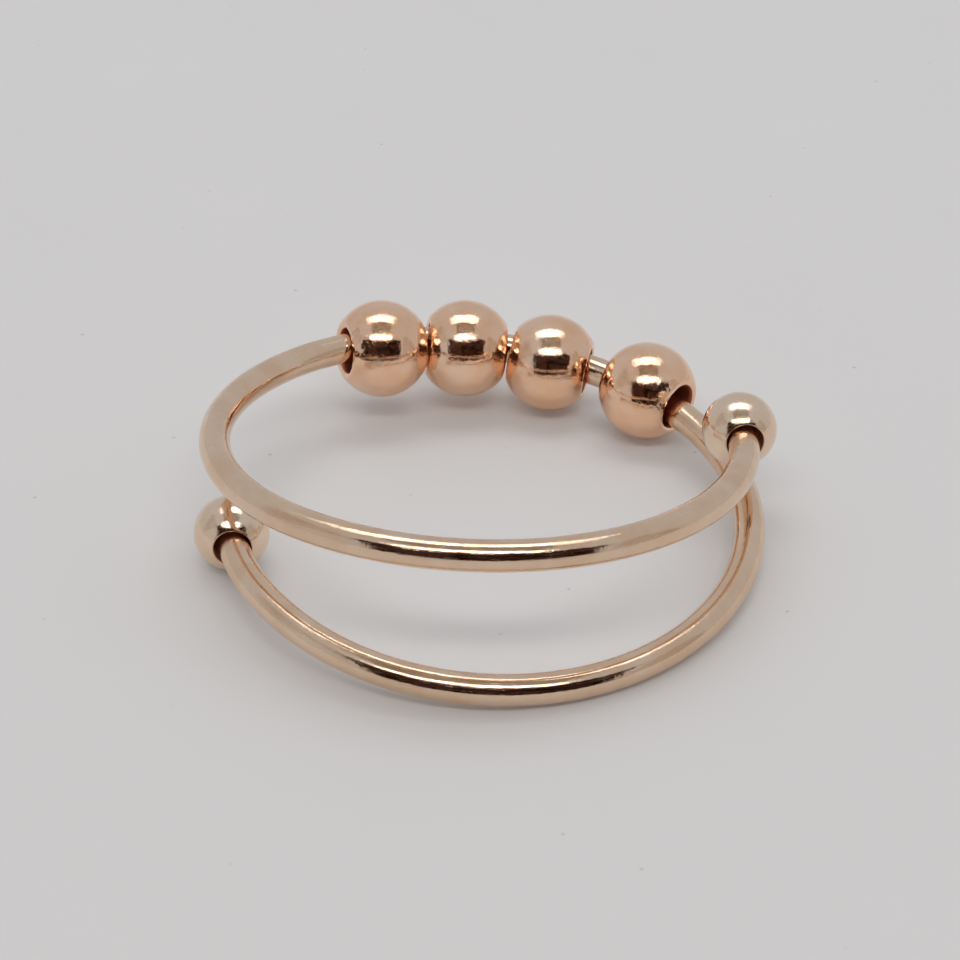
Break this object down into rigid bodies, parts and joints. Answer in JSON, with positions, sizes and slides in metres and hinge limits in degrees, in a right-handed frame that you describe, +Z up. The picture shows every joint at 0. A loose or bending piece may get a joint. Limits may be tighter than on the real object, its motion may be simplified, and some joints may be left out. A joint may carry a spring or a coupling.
{
  "type": "spinner ring",
  "caption": "Open spiral finger ring of round wire, with a small fixed bead on each end and larger drilled beads that slide along the back of the wire.",
  "frame": {"origin": "on the table, under the middle of the whole ring's box", "axes": "+Z up from the table the ring lies on; the sliding beads are at +Y, the back; the picture looks along +Y and down, with +X to its right"},
  "size_m": [0.0228, 0.0236, 0.0067],
  "materials": {
    "wire": "rose-gold plated, mirror polished",
    "end_bead": "pale rose-gold plated, mirror polished",
    "sliding_bead": "rose-gold plated, mirror polished"
  },
  "bodies": {
    "ring": {"wire_band": "wire", "end_bead_upper": "end_bead", "end_bead_lower": "end_bead"},
    "bead_3": {"sliding_bead_3": "sliding_bead"},
    "bead_2": {"sliding_bead_2": "sliding_bead"},
    "bead_1": {"sliding_bead_1": "sliding_bead"},
    "bead_4": {"sliding_bead_4": "sliding_bead"}
  },
  "joints": [
    {"name": "bead_3_travel", "type": "hinge", "parent": "ring", "child": "bead_3", "pos_m": [-0.00022, -0.00069, 0.003], "axis": [0.1304, 0.0325, 0.9909], "range_deg": [-2, 12]},
    {"name": "bead_2_travel", "type": "hinge", "parent": "bead_3", "child": "bead_2", "pos_m": [-0.00022, -0.00069, 0.003], "axis": [0.1304, 0.0325, 0.9909], "range_deg": [0, 6]},
    {"name": "bead_1_travel", "type": "hinge", "parent": "bead_2", "child": "bead_1", "pos_m": [-0.00022, -0.00069, 0.003], "axis": [0.1304, 0.0325, 0.9909], "range_deg": [0, 6]},
    {"name": "bead_4_travel", "type": "hinge", "parent": "ring", "child": "bead_4", "pos_m": [-0.00041, -0.00073, 0.00144], "axis": [0.0294, -0.0758, 0.9967], "range_deg": [-18, 2]}
  ]
}
